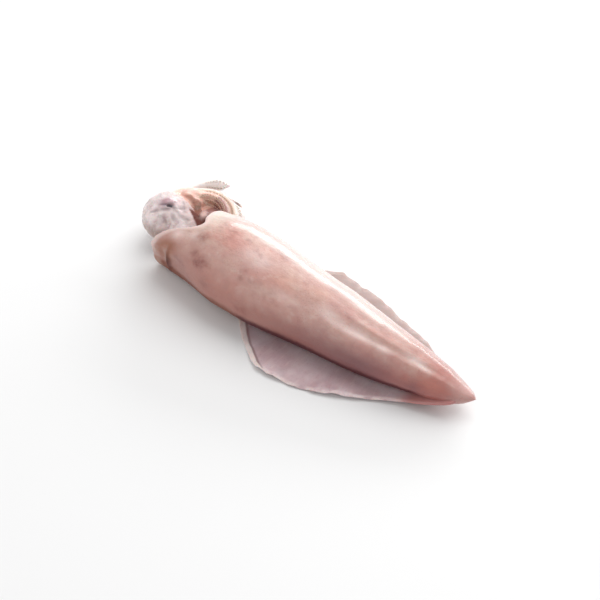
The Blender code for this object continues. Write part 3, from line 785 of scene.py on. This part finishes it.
def dress_head(mesh):
    """Relaxes the skin, carves its relief along the normals and stores its colours' masks."""
    points = relaxed(mesh, read(mesh.vertices, "co", 3).astype(float), 4)
    move_points(mesh, points)
    normal = read(mesh.vertices, "normal", 3).astype(float)
    best, number, share, inner = limb_values(points)
    to_ring = RING_MIDDLE - points
    ring_gap = np.hypot(to_ring[:, 0], to_ring[:, 1])
    on_head = ramp(best, 0.0006, 0.0022) * ramp(ring_gap, 0.0140, 0.0030)
    marks = eye_marks(points, EYE_MIDDLES[0], EYE_AXIS)
    for key, mask in eye_marks(points, EYE_MIDDLES[1], -EYE_AXIS).items():
        marks[key] = (marks[key] + mask) * on_head
    marks["furrows"] = head_furrows(points) * on_head
    marks["pits"] = ramp(lumps(points, 0.0030, 16), 0.15, 0.35) * on_head
    bands = np.sin(share * 150.0 + 2.0 * number) * 0.5 + 0.5 * lumps(points, 0.0022, 11)
    relief = 0.35 * lumps(points, 0.0080, 8) + 0.16 * lumps(points, 0.0033, 9)
    relief = relief * (0.35 + 0.65 * on_head) + 0.10 * bands * (1.0 - on_head) * (inner < 0.4)
    relief = relief + 0.6 * np.abs(lumps(points, 0.0060, 17)) * on_head
    for key, height in MARK_RELIEF.items():
        relief = relief + height * marks[key]
    to_ring[:, 2] = 0.012
    facing = np.sum(normal * unit(to_ring), axis=1)
    ring_turn = np.degrees(np.arctan2(-to_ring[:, 1], to_ring[:, 0]))
    cleft, by_cleft = head_cleft(points)
    # The far top of the head, which gets a rosy painted shade
    far_top = ramp(points[:, 1], 0.0125, 0.0060) * ramp(points[:, 2], 0.030, 0.006)
    ahead = HEAD_MIDDLE[0] - 0.012 - 0.4 * (points[:, 1] - HEAD_SIDE) - points[:, 0]
    store(mesh, {
        **marks,
        "on_head": on_head,
        "hollow": ramp(ring_gap, 0.0260, -0.008) * ramp(facing, -0.35, 0.6),
        # deep: painted shade in the middle of the curl
        "deep": ramp(ring_gap, 0.0150, -0.006),
        "outer_dark": ramp(ring_gap, 0.0215, 0.004) * bump(ring_turn, 85.0, 38.0) * (1.0 - on_head),
        "tentacle": number >= len(arms),
        "spotted": ramp(ahead, 0.0, 0.006),
        "cleft": cleft * on_head,
        "funnel_end_highlight": funnel_end_highlight(points),
        "rosy": np.maximum(by_cleft, 0.6 * far_top) * on_head,
        "shaded": ramp(points[:, 0], -0.1458, 0.0032) * ramp(ring_gap, 0.0200, -0.004),
        "collar": head_shade(points) * on_head,
    })
    points = points + normal * relief[:, None] * MM
    points[:, 2] = np.maximum(points[:, 2], 0.0002)
    mesh.shade_smooth()
    move_points(mesh, points)


dress_head(head.data)

# %% [markdown]
# ## Suckers
# Each arm has two rows of suckers on its inner side: little cups with a raised ring. One cup is
# a profile turned into a few rings of ten points. Whole arrays of places, directions and sizes
# carry copies of it along every arm, and all the copies become one mesh.

# %% Suckers
SUCKER_PROFILE = np.array([(1.0, -0.5), (1.08, 0.15), (0.86, 0.42), (0.60, 0.28), (0.42, -0.10)])
SUCKER_SIDES = 10
SMALLEST_SUCKER = 0.00035
# The share of a limb's radius at which a cup sits, and the step from cup to cup in cup radii
SEAT_SHARE = 0.97
SUCKER_STEP = 1.25


def along_limb(limb, key, at):
    """One of a limb's vectors at that length along it."""
    return np.array([np.interp(at, limb["length"], limb[key][:, axis]) for axis in range(3)])


def sucker_seats(limb, begin, end, size_share, spread):
    """Seats for two rows along a limb: place, direction out, direction ahead, and radius.
    The seats take turns, each turned by the spread angle to its own side."""
    seats, at, number = [], begin * limb["length"][-1], 0
    while at < end * limb["length"][-1]:
        radius = np.interp(at, limb["length"], limb["radius"])
        ahead, inner = unit(along_limb(limb, "ahead", at)), unit(along_limb(limb, "inner", at))
        lean = spread * (1 if number % 2 else -1)
        out = inner * np.cos(lean) + np.cross(ahead, inner) * np.sin(lean)
        size = max(radius * size_share, SMALLEST_SUCKER)
        seats.append((along_limb(limb, "path", at) + out * (radius * SEAT_SHARE), out, ahead, size))
        at += size * SUCKER_STEP
        number += 1
    return seats


def build_suckers():
    """All suckers as one mesh: the profile's rings round each seat's own axis."""
    seats = []
    for arm in arms:
        seats += sucker_seats(arm, 0.14, 0.95, 0.27, np.radians(27))
    for tentacle in tentacles:
        seats += sucker_seats(tentacle, 0.74, 0.97, 0.24, np.radians(34))
    spot, out, ahead, size = (np.array(column) for column in zip(*seats))
    ahead = unit(ahead - out * np.sum(ahead * out, axis=1, keepdims=True))
    aside = np.cross(out, ahead)
    turn = full_turn(SUCKER_SIDES)[:, None]
    circle = ahead[:, None] * np.cos(turn) + aside[:, None] * np.sin(turn)
    wide, high = SUCKER_PROFILE.T[:, :, None, None]
    rings = spot[:, None, None] + size[:, None, None, None] * (
        wide * circle[:, None] + high * out[:, None, None])
    shells = [closed_tube(ring, seat - o * s * 0.5, seat - o * s * 0.25)
              for ring, seat, o, s in zip(rings, spot, out, size)]
    points, faces = joined(shells)
    depth = with_poles(np.repeat([0.0, 0.0, 0.0, 0.35, 1.0], SUCKER_SIDES), 0.0, 1.0)
    ring_gap = np.hypot(*(points - RING_MIDDLE)[:, :2].T)
    print("suckers:", len(seats))
    return new_piece("suckers", points, faces, hollow=np.tile(depth, len(seats)),
                     in_ring=ramp(ring_gap, 0.0260, -0.006))


suckers = build_suckers()

# %% [markdown]
# ## Eyes
# Under each lid lies a dark, glossy ball. The slit in the skin only bares a sliver of it, so a
# ball that just reaches the slit's floor is all that is needed.

# %% Eyeballs
# Each ball: which eye it is for, how far it is moved along the eyes' axis, and its radius
EYEBALLS = ((0, -0.0012, 0.0096), (1, 0.0014, 0.0092))
eyes = new_piece("eyeballs", *joined(
    raw_egg(EYE_MIDDLES[eye] + shift * EYE_AXIS, np.full(3, radius))
    for eye, shift, radius in EYEBALLS))


# %% [markdown]
# ## Shader maths as Python
# A material is a graph of nodes, which is hard to read as code. This small class stands for one
# output of a node, so a sum or a product of two of them adds the Math node by itself. Colours go
# through Mix nodes, in layers, and one method makes every node.

# %% The shader workbench
class Wire:
    """One value inside a material, with the operators that its recipes use."""

    def __init__(self, recipe, socket):
        self.recipe = recipe
        self.socket = socket

    def _math(self, operation, first, second):
        settings = {"operation": operation}
        return self.recipe.node("ShaderNodeMath", settings, {0: first, 1: second})

    def __add__(self, other):
        return self._math("ADD", self, other)

    def __sub__(self, other):
        return self._math("SUBTRACT", self, other)

    def __rsub__(self, other):
        return self._math("SUBTRACT", other, self)

    def __mul__(self, other):
        return self._math("MULTIPLY", self, other)

    __radd__ = __add__
    __rmul__ = __mul__

    def between(self, low, high):
        """0 at low, 1 at high, smooth between. Low may be the larger one."""
        settings = {"interpolation_type": "SMOOTHSTEP"}
        sockets = {"Value": self, "From Min": low, "From Max": high}
        return self.recipe.node("ShaderNodeMapRange", settings, sockets)


class Recipe:
    """One material, built on a Principled shader."""

    def __init__(self, name, **constants):
        self.material = bpy.data.materials.new(name)
        self.material.use_nodes = True
        self.tree = self.material.node_tree
        self.shader = self.tree.nodes["Principled BSDF"]
        self.place = None
        for key, value in constants.items():
            self.shader.inputs[key.replace("_", " ")].default_value = value

    def node(self, kind, settings, sockets, output=0):
        """Adds a node: its settings first, then its sockets' values or links."""
        made = self.tree.nodes.new(kind)
        for key, value in settings.items():
            setattr(made, key, value)
        for key, value in sockets.items():
            if isinstance(value, Wire):
                self.tree.links.new(value.socket, made.inputs[key])
            else:
                made.inputs[key].default_value = value
        return Wire(self, made.outputs[output])

    def point(self, stretch=(1.0, 1.0, 1.0), shift=(0.0, 0.0, 0.0)):
        """Object coordinates, stretched and shifted."""
        if self.place is None:
            self.place = self.node("ShaderNodeTexCoord", {}, {}, output="Object")
        sockets = {"Vector": self.place, "Scale": stretch, "Location": shift}
        return self.node("ShaderNodeMapping", {}, sockets)

    def axis(self, letter):
        """One of the Object coordinates, in metres."""
        return self.node("ShaderNodeSeparateXYZ", {}, {"Vector": self.point()}, output=letter)

    def noise(self, size, seed=0.0, detail=3.0, along=1.0, across=1.0):
        """Noise from 0 to 1 whose features are about that size in metres, divided by along in X
        and by across in Y."""
        place_of = self.point((along, across, 1.0), (seed, 0.37 * seed, 0.71 * seed))
        sockets = {"Vector": place_of, "Scale": 1.0 / size, "Detail": detail, "Roughness": 0.55}
        return self.node("ShaderNodeTexNoise", {}, sockets)

    def dots(self, size, seed):
        """Distance to the nearest of scattered points, in cells of that size."""
        sockets = {"Vector": self.point(shift=(seed, seed, seed)), "Scale": 1.0 / size}
        return self.node("ShaderNodeTexVoronoi", {}, sockets, output="Distance")

    def value(self, name):
        """A point attribute of the mesh."""
        return self.node("ShaderNodeAttribute", {"attribute_name": name}, {}, output="Fac")

    def blend(self, factor, first, second):
        """A colour between two colours, each a wire or three numbers. A Mix node's sockets have to
        be named by number: 6 and 7 take its colours, and output 2 gives one."""
        ends = [end if isinstance(end, Wire) else (*end, 1.0) for end in (first, second)]
        sockets = {0: factor, 6: ends[0], 7: ends[1]}
        return self.node("ShaderNodeMix", {"data_type": "RGBA"}, sockets, output=2)

    def lay(self, colour, *layers):
        """Lays colours over a first one in turn. Each layer is a mask, which is a wire or the name
        of a point attribute, a strength, and a colour."""
        for mask, strength, laid in layers:
            mask = self.value(mask) if isinstance(mask, str) else mask
            colour = self.blend(mask * strength, colour, laid)
        return colour

    def finish(self, colour, roughness, height, bump_distance, coat=None):
        """Links the colour, the roughness, a bump and, if it varies, the wet coat to the shader."""
        sockets = {"Height": height, "Distance": bump_distance, "Strength": 1.0}
        bumped = self.node("ShaderNodeBump", {}, sockets, output="Normal")
        wires = {"Base Color": colour, "Roughness": roughness, "Normal": bumped}
        for name, wire in {**wires, "Coat Weight": coat}.items():
            if wire is not None:
                self.tree.links.new(wire.socket, self.shader.inputs[name])
        return self.material


WET = {"Coat_Weight": 0.55, "Coat_Roughness": 0.16, "Subsurface_Weight": 0.15,
       "Subsurface_Scale": 0.004, "IOR": 1.38}

# %% [markdown]
# ## The mantle's skin
# Fresh squid skin is a pale pinkish beige under a wet film. Salmon and mauve clouds lie in it,
# brown-red blotches gather near the mouth, the tail is redder, and thousands of tiny pigment
# dots are scattered over it. The sides are redder than the belly on top, and painted shade makes
# them far darker; a dark band of painted shade runs along the underside, and painted highlights
# lie on the far side, its shoulder and a ridge of the belly. The colours are mixed from broad to
# fine, each with its own mask.

# %% Colours of the mantle
BEIGE = (0.62, 0.42, 0.36)
PINK = (0.55, 0.31, 0.275)
SALMON = (0.60, 0.29, 0.245)
ROSE_BROWN = (0.43, 0.22, 0.19)
PALE_FLECK = (0.74, 0.58, 0.51)
SIDE_SHADE_PINK = (0.40, 0.164, 0.130)
SIDE_SHADE_MAUVE = (0.21, 0.080, 0.085)
MAROON_SHADE = (0.10, 0.024, 0.028)
UNDER_SHADE_BROWN = (0.20, 0.070, 0.046)
FAR_HIGHLIGHT = (0.74, 0.65, 0.62)
PEACH = (0.66, 0.36, 0.26)
PATCH_RED = (0.50, 0.19, 0.150)
SHOULDER_HIGHLIGHT = (0.74, 0.65, 0.56)
ROSE = (0.78, 0.60, 0.56)
OCHRE = (0.34, 0.120, 0.062)
TAIL_RED = (0.44, 0.14, 0.115)
BLOTCH = (0.24, 0.070, 0.055)
FRONT_BROWN = (0.45, 0.225, 0.185)
SPECK = (0.22, 0.06, 0.05)
FLESH = (0.50, 0.27, 0.22)
SHADE = (0.07, 0.020, 0.018)


# %% The mantle's material
def mantle_skin():
    """Clouds, sides darkened partly by painted shade, tail and mouth colours, blotches, painted
    highlights, an underside band of painted shade, and specks, then a wet finish.
    """
    skin = Recipe("mantle_skin", **WET)
    x, top, from_rim = skin.axis("X"), skin.value("top"), skin.value("from_rim")
    mottle = skin.noise(0.0060, 11.0, detail=4.0, along=0.8)
    uneven = 0.30 * skin.noise(0.016, 3.4, along=0.6)
    to_tail = x.between(-0.06, 0.075)
    front = x.between(-0.005, -0.085) * (top + uneven).between(1.15, 0.75)
    # The sides: redder skin, darkened further by painted shade, most of all towards the tail
    side = (top + uneven - 0.22 * to_tail).between(1.02, 0.12) * (0.88 + 0.12 * to_tail)
    tail = x.between(0.050, 0.108) * skin.noise(0.020, 5.0).between(0.22, 0.55)
    streaks = skin.noise(0.007, 7.0, along=0.5).between(0.30, 0.60)
    blotches = skin.noise(0.010, 4.1, detail=2.5, along=0.8).between(0.58, 0.74)
    ragged = skin.noise(0.004, 4.6).between(0.30, 0.62)
    by_rim = from_rim.between(0.010, 0.004)
    by_mouth = x.between(-0.034, -0.050)
    # Along the underside, a dark band: partly the skin's own darker underside, partly painted shade
    lowered = 0.12 * skin.noise(0.008, 2.9) + 0.15 * x.between(-0.060, -0.100)
    low = (top + lowered).between(0.02, -0.22)
    under = low * (1.0 - by_rim) * x.between(0.104, 0.090)
    crease = skin.value("crease")
    inside = skin.value("inside").between(0.45, 1.0)
    scattered = skin.noise(0.02, 8.0, detail=2.0).between(0.40, 0.65)
    specks = skin.dots(0.0016, 3.0).between(0.30, 0.10) * scattered
    colour = skin.lay(
        BEIGE,
        (skin.noise(0.040, 1.0, along=0.7).between(0.38, 0.64), 1.0, PINK),
        (skin.noise(0.026, 2.3, detail=4.0, along=0.6).between(0.48, 0.68), 0.75, SALMON),
        (mottle.between(0.46, 0.66), 0.40, ROSE_BROWN),
        (mottle.between(0.46, 0.28), 0.35, PALE_FLECK),
        (front, 0.55, FRONT_BROWN),
        (side, 1.0, skin.blend(to_tail, SIDE_SHADE_PINK, SIDE_SHADE_MAUVE)),
        (tail, 0.75, TAIL_RED),
        (x.between(0.108, 0.124), 0.35, ROSE),
        ("peach", 0.7, PEACH),
        (skin.value("red") * (0.5 + 0.5 * streaks), 1.0, PATCH_RED),
        # Painted wet highlights, mostly along the belly's ridge and by the rim
        (skin.value("pale") * (0.60 + 0.40 * streaks), 1.0, ROSE),
        (blotches * x.between(0.02, -0.085), 0.45, BLOTCH),
        (skin.value("blotch") * (0.45 + 0.50 * ragged), 1.0, BLOTCH),
        ("far_highlight", 1.0, FAR_HIGHLIGHT),
        ("shoulder", 0.75, SHOULDER_HIGHLIGHT),
        ("lobe", 0.25, ROSE),
        (skin.value("ochre").between(0.05, 0.75), 0.9, OCHRE),
        (from_rim.between(0.0050, 0.0008) * top.between(-0.15, 0.30), 0.8, ROSE),
        (low * by_rim, 1.0, OCHRE),
        # The underside's band of painted shade: maroon, browner by the mouth
        (under * (1.0 - 0.2 * by_mouth), 1.0, skin.blend(by_mouth, MAROON_SHADE, UNDER_SHADE_BROWN)),
        (crease, 0.85, SHADE),
        (inside, 1.0, FLESH),
        (skin.value("depth").between(0.0, 0.6), 1.0, SHADE),
        (specks * (1.0 - inside), 0.26, SPECK),
    )
    roughness = 0.30 + 0.24 * skin.noise(0.006, 6.0) + 0.4 * under + 0.3 * crease
    height = skin.noise(0.0017, 9.0, along=0.8) + 0.8 * skin.noise(0.0048, 10.0, along=0.7)
    coat = 0.5 * (1.0 - 0.9 * under) * (1.0 - crease)
    return skin.finish(colour, roughness, height, 0.00022, coat)


mantle.data.materials.append(mantle_skin())

# %% [markdown]
# ## The fins' skin
# A fin is thinner than the mantle, so it looks greyer and more glassy, with fine muscle lines
# across it and a pale pink edge that light shines through. A fold of painted shade lies behind its
# pale front flap. The far fin is browner, partly with painted shade, and duller, and the ledge by
# the tail is as red as the tail itself.

# %% The fins' material
FIN_GREY = (0.58, 0.44, 0.46)
FIN_MAUVE = (0.50, 0.34, 0.36)
FIN_PALE = (0.84, 0.70, 0.68)
FAR_FIN_SHADE_BROWN = (0.40, 0.29, 0.255)
LEDGE_RED = (0.46, 0.20, 0.19)


def fin_skin():
    """Grey-mauve clouds, muscle lines, a pale flap in front with a fold of painted shade, a pale
    edge, then the far fin's brown, partly painted shade, and the ledge's red."""
    skin = Recipe("fin_skin", **WET)
    lines = skin.noise(0.0024, 3.3, detail=2.0, across=0.22)
    front, far = skin.value("from_front"), skin.value("far")
    ragged = skin.noise(0.006, 5.1).between(0.25, 0.60)
    colour = skin.lay(
        FIN_GREY,
        (skin.noise(0.018, 1.7).between(0.35, 0.65), 1.0, FIN_MAUVE),
        (lines.between(0.45, 0.75), 0.16, FIN_PALE),
        (front.between(0.0075, 0.0055), 0.95, FIN_PALE),
        # A fold of painted shade behind the pale flap
        (front.between(0.0052, 0.0068) * front.between(0.0100, 0.0074), 0.6, MAROON_SHADE),
        (skin.value("from_edge").between(0.0042, 0.0004) * ragged, 0.75, FIN_PALE),
        (skin.dots(0.0020, 5.0).between(0.28, 0.12), 0.16, SPECK),
        # The far fin browner: its own tone, partly painted shade
        (far, 0.75, FAR_FIN_SHADE_BROWN),
        (skin.axis("X").between(0.080, 0.095), 1.0, LEDGE_RED),
    )
    roughness = 0.28 + 0.22 * skin.noise(0.005, 6.6) + 0.15 * far
    height = 0.6 * lines + 0.8 * skin.noise(0.0032, 2.2)
    return skin.finish(colour, roughness, height, 0.00018, 0.55 * (1.0 - 0.8 * far))


fin_material = fin_skin()
for fin in fins:
    fin.data.materials.append(fin_material)

# %% [markdown]
# ## Head and arms
# The head is a pale pinkish white with mauve round the eye, and grey in its furrows. Painted shade
# tints it rosy by the cleft and on its far top, and a pink highlight is painted on the funnel's
# end. The outer side of each arm is pale cream pink, and the inner side, where the suckers are, is
# a warm ochre to brown that darkens inside the curl, with painted shade deep in it and by the
# mantle's rim.

# %% Colours of the head and arms
HEAD_WHITE = (0.89, 0.76, 0.75)
HEAD_GREY = (0.33, 0.245, 0.25)
HEAD_VIOLET = (0.16, 0.095, 0.125)
LID_MAUVE = (0.44, 0.235, 0.28)
LID_PALE = (0.84, 0.76, 0.75)
ARM_PALE = (0.88, 0.74, 0.66)
TENTACLE_PALE = (0.88, 0.80, 0.78)
ARM_OCHRE = (0.70, 0.56, 0.42)
ARM_BROWN = (0.74, 0.40, 0.325)
ARM_ROSE = (0.27, 0.10, 0.090)
ARM_DARK = (0.105, 0.032, 0.030)
SUCKER_TAN = (0.78, 0.57, 0.44)
SLIT_DARK = (0.075, 0.045, 0.055)
COLLAR_BROWN = (0.31, 0.195, 0.155)
HEAD_ROSY_SHADE = (0.47, 0.325, 0.31)
CLEFT_DARK = (0.115, 0.028, 0.020)
FUNNEL_HIGHLIGHT_PINK = (0.88, 0.58, 0.52)
EYE_BLACK = (0.012, 0.012, 0.018)
EYE_BLUE = (0.05, 0.05, 0.07)


# %% The head's and arms' material
def head_colours(skin):
    """Pale skin with grey folds and furrows, mauve veins and a mauve ring and lid round the eye,
    violet spots, a rosy painted shade by the dark cleft and on the far top, brown shade by the rim,
    and a painted pink highlight on the funnel's end."""
    dotted = skin.noise(0.0042, 2.4, detail=2.0).between(0.50, 0.62)
    return skin.lay(
        HEAD_WHITE,
        (skin.value("folds").between(0.05, -0.75), 0.7, HEAD_GREY),
        (skin.noise(0.0055, 3.9).between(0.52, 0.68), 0.30, LID_MAUVE),
        (skin.noise(0.012, 6.1).between(0.52, 0.70), 0.20, HEAD_GREY),
        ("rosy", 0.8, HEAD_ROSY_SHADE),
        ("mauve", 0.45, LID_MAUVE),
        ("furrows", 0.9, HEAD_GREY),
        ("lid", 0.85, LID_MAUVE),
        ("lower_lid", 0.7, LID_PALE),
        ("pits", 0.14, HEAD_GREY),
        (dotted * skin.value("spotted"), 0.55, HEAD_VIOLET),
        ("crease", 0.75, HEAD_VIOLET),
        (skin.value("slit").between(0.15, 0.55), 1.0, SLIT_DARK),
        ("collar", 0.75, COLLAR_BROWN),
        ("cleft", 1.0, CLEFT_DARK),
        ("funnel_end_highlight", 0.9, FUNNEL_HIGHLIGHT_PINK),
    )


def arm_colours(skin):
    """Pale outside, ochre to brown towards the inside of the curl, with painted shade deep in the
    curl and shaded dark red by the mantle's rim.
    """
    hollow = skin.value("hollow")
    patches = skin.noise(0.006, 7.7).between(0.30, 0.62)
    return skin.lay(
        ARM_PALE,
        (skin.noise(0.008, 8.8).between(0.46, 0.68), 0.45, PINK),
        (hollow.between(0.22, 0.75), 1.0, ARM_OCHRE),
        (hollow.between(0.40, 0.98) * (0.55 + 0.45 * patches), 1.0, ARM_BROWN),
        ("shaded", 0.82, ARM_ROSE),
        # Painted shade deep inside the curl
        ("deep", 0.12, ARM_DARK),
        (skin.value("outer_dark") * patches, 0.85, ARM_DARK),
        ("tentacle", 0.9, TENTACLE_PALE),
    )


def head_skin():
    """The head's colours and the arms' colours, blended where an arm begins."""
    skin = Recipe("head_skin", **WET)
    scattered = skin.noise(0.012, 9.0, detail=2.0).between(0.42, 0.62)
    colour = skin.lay(
        arm_colours(skin),
        ("on_head", 1.0, head_colours(skin)),
        (skin.dots(0.0019, 7.0).between(0.30, 0.12) * scattered, 0.32, SPECK),
    )
    dull, rosy = skin.value("cleft"), skin.value("rosy")
    roughness = 0.26 + 0.22 * skin.noise(0.005, 6.6) + 0.4 * dull + 0.15 * rosy
    height = skin.noise(0.0014, 2.2, detail=4.0) + 0.8 * skin.noise(0.0036, 1.2)
    coat = 0.55 * (1.0 - 0.95 * dull) * (1.0 - 0.7 * rosy)
    return skin.finish(colour, roughness, height, 0.00028, coat)


head.data.materials.append(head_skin())


# %% Suckers and eyes
def sucker_skin():
    """Ochre rings with a brown hollow, paler on the arms' outer side."""
    skin = Recipe("sucker_skin", **WET)
    tint = skin.noise(0.004, 4.4, detail=2.0).between(0.35, 0.65)
    inner_tan = skin.blend(tint * 0.4, SUCKER_TAN, ARM_BROWN)
    colour = skin.lay(ARM_PALE, ("in_ring", 1.0, inner_tan), ("hollow", 1.0, ARM_DARK))
    roughness = 0.25 + 0.15 * skin.noise(0.002, 1.1, detail=2.0)
    return skin.finish(colour, roughness, skin.noise(0.0008, detail=2.0), 0.0001)


def eye_gloss():
    """A near-black ball with a bluish cast."""
    gloss = Recipe("eye_gloss", Coat_Weight=0.3, Coat_Roughness=0.10, IOR=1.35)
    colour = gloss.blend(gloss.noise(0.004), EYE_BLACK, EYE_BLUE)
    roughness = 0.25 + 0.15 * gloss.noise(0.003, detail=2.0)
    return gloss.finish(colour, roughness, gloss.noise(0.002, detail=2.0), 0.00002)


suckers.data.materials.append(sucker_skin())
eyes.data.materials.append(eye_gloss())

# %% [markdown]
# ## The studio
# The squid lies on a plain pale floor. A broad soft light hangs over its far side, a weaker one
# fills the near side, and a long low one behind it draws the wide wet highlight along its far
# shoulder, over a highlight painted into the skin there. A bright white room does the rest. The
# camera looks down 41 degrees from the near side, through a lens of about 58 mm.

# %% Floor
FLOOR_HALF = 3.0
FLOOR_GREY = (0.86, 0.86, 0.86, 1.0)
floor_corners = np.array([(-1, -1, 0), (1, -1, 0), (1, 1, 0), (-1, 1, 0)], float) * FLOOR_HALF
floor = new_piece("floor", floor_corners, [[0, 1, 2, 3]])
floor.data.materials.append(Recipe("pale_floor", Roughness=0.6, Base_Color=FLOOR_GREY).material)

# %% Camera
LENS_MM = 57.8
SENSOR_MM = 36.0
CAMERA_PITCH = np.radians(41.0)
CAMERA_TURN = np.radians(39.6)
CAMERA_PLACE = (0.3114, -0.3916, 0.465)
camera_data = bpy.data.cameras.new("camera")
camera_data.lens = LENS_MM
camera_data.sensor_width = SENSOR_MM
camera = add_object("camera", camera_data)
turned = Matrix.Rotation(CAMERA_TURN, 4, "Z") @ Matrix.Rotation(np.pi / 2 - CAMERA_PITCH, 4, "X")
camera.matrix_world = Matrix.Translation(CAMERA_PLACE) @ turned
bpy.context.scene.camera = camera

# %% Lights
# Each light: where it is, what it looks at, its width and depth, and its power in watts
LIGHTS = {
    "overhead": ((0.05, 0.60, 1.05), (0.0, 0.0, 0.02), (1.5, 1.2), 10.5),
    "near_fill": ((-0.50, -0.80, 0.60), (-0.08, 0.0, 0.02), (1.6, 1.2), 3.0),
    "behind": ((-0.25, 1.05, 0.42), (-0.02, 0.0, 0.03), (1.3, 0.30), 8.0),
}
ROOM_WHITE = (1.0, 1.0, 1.0, 1.0)
ROOM_STRENGTH = 0.52


def soft_light(name, where, target, size, power):
    """A rectangular light that looks from one point to another."""
    data = bpy.data.lights.new(name, "AREA")
    data.shape = "RECTANGLE"
    data.size, data.size_y = size
    data.energy = power
    back = unit(np.array(where) - np.array(target))
    right = unit(np.cross((0.0, 0.0, 1.0), back))
    turn = Matrix(np.stack([right, np.cross(back, right), back], axis=1).tolist()).to_4x4()
    add_object(name, data).matrix_world = Matrix.Translation(where) @ turn


for name, light in LIGHTS.items():
    soft_light(name, *light)
world = bpy.data.worlds.new("white_room")
world.use_nodes = True
world.node_tree.nodes["Background"].inputs["Color"].default_value = ROOM_WHITE
world.node_tree.nodes["Background"].inputs["Strength"].default_value = ROOM_STRENGTH
bpy.context.scene.world = world
bpy.context.scene.view_settings.view_transform = "Standard"

# %% [markdown]
# ## Pieces on the body
# All pieces ride on the one body and stand for the plain solid, which is hidden.

# %% Pieces on their body
for piece in [mantle, head, suckers, eyes] + fins:
    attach(piece, "root")
    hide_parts("squid")
